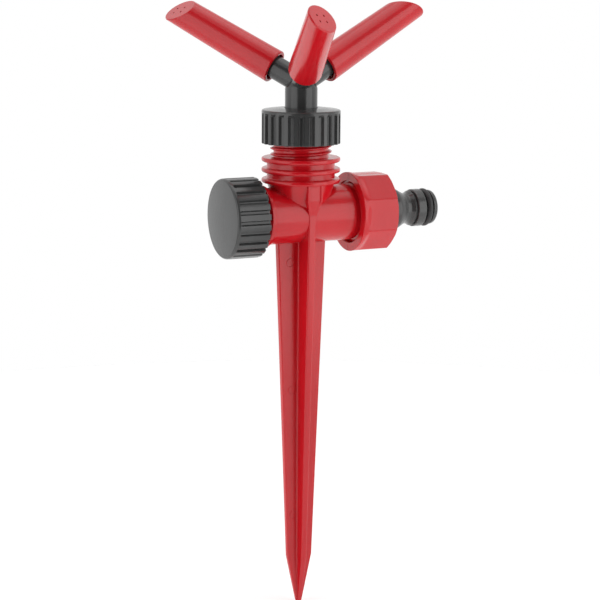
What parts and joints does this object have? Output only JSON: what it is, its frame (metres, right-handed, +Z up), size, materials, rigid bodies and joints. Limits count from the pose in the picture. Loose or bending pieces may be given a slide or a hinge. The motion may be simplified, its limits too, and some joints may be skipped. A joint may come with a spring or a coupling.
{
  "type": "rotary garden sprinkler",
  "caption": "Garden sprinkler on a ground spike: a tee with a hose nipple, a blanking cap and a spinning hub whose upward arms carry bevelled, drilled nozzle tubes.",
  "frame": {"origin": "on the spike's axis at soil level, 20 mm below the axis of the horizontal tube", "axes": "+Z up along the spike's and the rotor's axis; +X along the tube towards the hose nipple, the blanking cap at -X; -Y is the front, where the boss under the neck's fins is"},
  "size_m": [0.1078, 0.1104, 0.2656],
  "materials": {
    "red_plastic": "moulded red polypropylene, glossy with a faint orange peel",
    "grey_plastic": "moulded dark grey ABS, satin gloss",
    "white_acetal": "white acetal, satin",
    "black_rubber": "black nitrile rubber"
  },
  "bodies": {
    "base": {"spike_body": "red_plastic"},
    "head_bearing": {"bearing_insert": "white_acetal", "thrust_washer": "white_acetal", "neck_gasket": "black_rubber"},
    "collar": {"collar_nut": "grey_plastic"},
    "rotor": {"rotor_hub": "grey_plastic", "stem_collar": "white_acetal", "stem_o_ring": "black_rubber", "nozzle_o_ring_1": "black_rubber", "nozzle_o_ring_2": "black_rubber", "nozzle_o_ring_3": "black_rubber"},
    "nozzle_1": {"nozzle_tube_1": "red_plastic"},
    "nozzle_2": {"nozzle_tube_2": "red_plastic"},
    "nozzle_3": {"nozzle_tube_3": "red_plastic"},
    "inlet_fitting": {"inlet_nipple": "grey_plastic", "nipple_o_ring": "black_rubber", "inlet_gasket": "black_rubber"},
    "coupling_nut": {"inlet_nut": "red_plastic"},
    "cap_seal": {"end_cap_gasket": "black_rubber"},
    "cap": {"end_cap": "grey_plastic"}
  },
  "joints": [
    {"name": "collar_lift", "type": "slide", "parent": "base", "child": "head_bearing", "axis": [0, 0, 1], "range_m": [0, 0.0088]},
    {"name": "collar_nut_turn", "type": "hinge", "parent": "head_bearing", "child": "collar", "pos_m": [0, 0, 0.057], "axis": [0, 0, 1], "range_deg": [0, 1260]},
    {"name": "rotor_spin", "type": "hinge", "parent": "head_bearing", "child": "rotor", "pos_m": [0, 0, 0.055], "axis": [0, 0, 1], "continuous": true},
    {"name": "nozzle_1_twist", "type": "hinge", "parent": "rotor", "child": "nozzle_1", "pos_m": [0.01735, 0.00391, 0.08564], "axis": [0.8677, 0.1955, 0.4571], "continuous": true},
    {"name": "nozzle_2_twist", "type": "hinge", "parent": "rotor", "child": "nozzle_2", "pos_m": [-0.01206, 0.01307, 0.08564], "axis": [-0.6032, 0.6536, 0.4571], "continuous": true},
    {"name": "nozzle_3_twist", "type": "hinge", "parent": "rotor", "child": "nozzle_3", "pos_m": [-0.00529, -0.01698, 0.08564], "axis": [-0.2645, -0.8492, 0.4571], "continuous": true},
    {"name": "inlet_slide", "type": "slide", "parent": "base", "child": "inlet_fitting", "axis": [1, 0, 0], "range_m": [0, 0.0101]},
    {"name": "inlet_nut_turn", "type": "hinge", "parent": "inlet_fitting", "child": "coupling_nut", "pos_m": [0.03, 0, 0.02], "axis": [1, 0, 0], "range_deg": [0, 1440]},
    {"name": "cap_slide", "type": "slide", "parent": "base", "child": "cap_seal", "axis": [-1, 0, 0], "range_m": [0, 0.0113]},
    {"name": "end_cap_turn", "type": "hinge", "parent": "cap_seal", "child": "cap", "pos_m": [-0.03, 0, 0.02], "axis": [-1, 0, 0], "range_deg": [0, 1600]}
  ],
  "couplings": [
    {"joint": "collar_lift", "follows": "collar_nut_turn", "m_per_rad": 0.00039789},
    {"joint": "inlet_slide", "follows": "inlet_nut_turn", "m_per_rad": 0.00039789},
    {"joint": "cap_slide", "follows": "end_cap_turn", "m_per_rad": 0.00039789}
  ]
}
